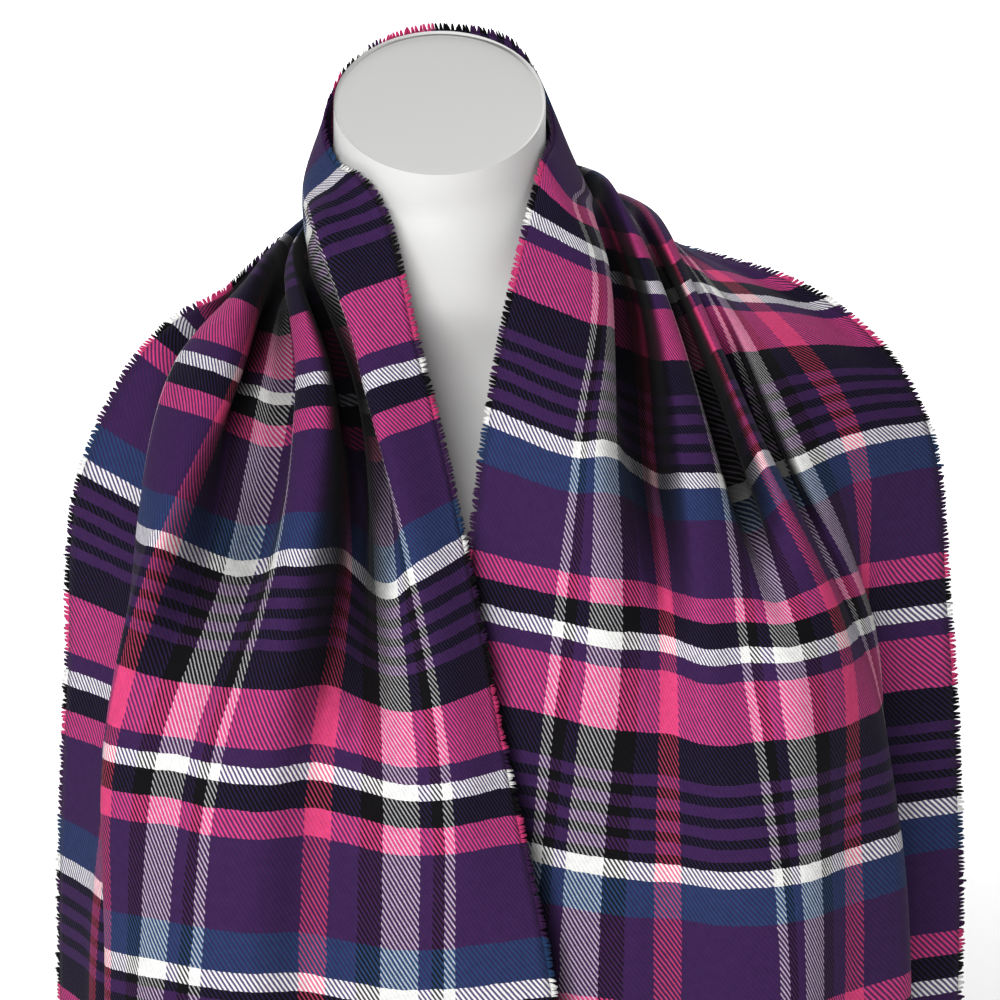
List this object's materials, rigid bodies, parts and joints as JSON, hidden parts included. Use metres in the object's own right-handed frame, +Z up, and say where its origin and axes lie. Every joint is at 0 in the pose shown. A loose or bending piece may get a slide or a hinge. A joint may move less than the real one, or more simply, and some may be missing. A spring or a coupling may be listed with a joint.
{
  "type": "cashmere scarf on a dress form",
  "caption": "Wide woven plaid scarf with short cut fringe, worn loose round the neck of a smooth limbless dress form, one end crossing over the other.",
  "frame": {"origin": "under the neck's centre line, on the dress form's flat underside", "axes": "+Z up, -Y towards the front of the wearer, +X towards the viewer's right"},
  "size_m": [0.5251, 0.317, 0.8686],
  "materials": {
    "cloth": "brushed twill, matte",
    "fringe": "cut yarn ends, matte",
    "form": "smooth white, satin"
  },
  "bodies": {
    "root": {"dress_form": "form", "scarf_left_strand": "cloth", "scarf_neck_stretch": "cloth", "scarf_right_strand": "cloth", "fringe_inner_left": "fringe", "fringe_outer_left": "fringe", "fringe_inner_neck": "fringe", "fringe_outer_neck": "fringe", "fringe_inner_right": "fringe", "fringe_outer_right": "fringe", "fringe_end_left": "fringe", "fringe_end_right": "fringe"}
  },
  "joints": []
}
